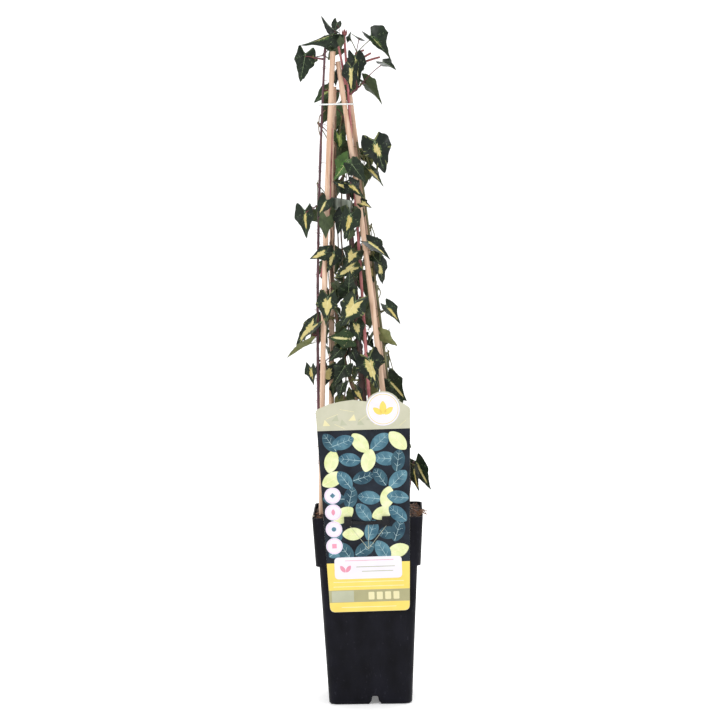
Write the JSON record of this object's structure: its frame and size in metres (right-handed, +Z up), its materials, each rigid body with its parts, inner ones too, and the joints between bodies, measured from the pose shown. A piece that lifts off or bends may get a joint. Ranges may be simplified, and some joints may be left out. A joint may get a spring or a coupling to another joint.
{
  "type": "potted goldheart english ivy",
  "caption": "Climbing ivy with small pointed dark green leaves and golden hearts, trained up tied canes in a tall square black pot with a label card.",
  "frame": {"origin": "centre of the pot's flat underside", "axes": "+Z up along the plant's height, -Y towards the front, where the label card hangs, +X to the right seen from the front"},
  "size_m": [0.1536, 0.1286, 0.7491],
  "materials": {
    "pot": "satin",
    "soil": "matte",
    "cane": "matte",
    "bark": "matte",
    "brown_bark": "matte",
    "red_stem": "satin",
    "purple_stem": "satin",
    "green_stem": "satin",
    "leaves": "satin",
    "clear_tie": "gloss",
    "green_band": "gloss",
    "label": "satin",
    "clip": "satin"
  },
  "bodies": {
    "root": {"pot": "pot", "potting_soil": "soil", "cane_front_left": "cane", "cane_front_right": "cane", "cane_back_right": "cane", "cane_back_left": "cane", "main_stem": "bark", "brown_stem": "brown_bark", "red_stem": "red_stem", "rose_stem": "red_stem", "crown_stem": "red_stem", "purple_stem": "purple_stem", "side_shoot": "purple_stem", "leafy_stem": "green_stem", "top_tie": "clear_tie", "middle_band": "green_band", "label_card": "label", "label_clip": "clip", "crown_left_leaves": "leaves", "crown_right_leaves": "leaves", "crown_outer_leaf": "leaves", "upper_right_leaves": "leaves", "upper_left_leaf": "leaves", "inner_upper_leaves": "leaves", "shoulder_leaves": "leaves", "upper_heart_leaves": "leaves", "band_side_leaf": "leaves", "waist_left_leaves": "leaves", "waist_heart_leaves": "leaves", "right_waist_leaves": "leaves", "left_waist_leaves": "leaves", "middle_heart_leaves": "leaves", "heart_leaves": "leaves", "big_left_leaf": "leaves", "lone_right_leaf": "leaves", "left_wing_leaves": "leaves", "low_heart_leaves": "leaves", "low_olive_leaf": "leaves", "big_right_leaf": "leaves", "low_right_leaf": "leaves", "low_left_leaf": "leaves", "foot_heart_leaves": "leaves", "side_leaves": "leaves", "back_crown_leaves": "leaves", "back_upper_right_leaves": "leaves", "back_upper_left_leaves": "leaves", "back_shoulder_leaves": "leaves", "back_band_leaves": "leaves", "back_waist_leaves": "leaves", "back_heart_leaves": "leaves", "back_middle_leaves": "leaves", "back_left_leaves": "leaves", "back_right_leaves": "leaves", "back_low_leaves": "leaves", "back_foot_leaves": "leaves"}
  },
  "joints": []
}
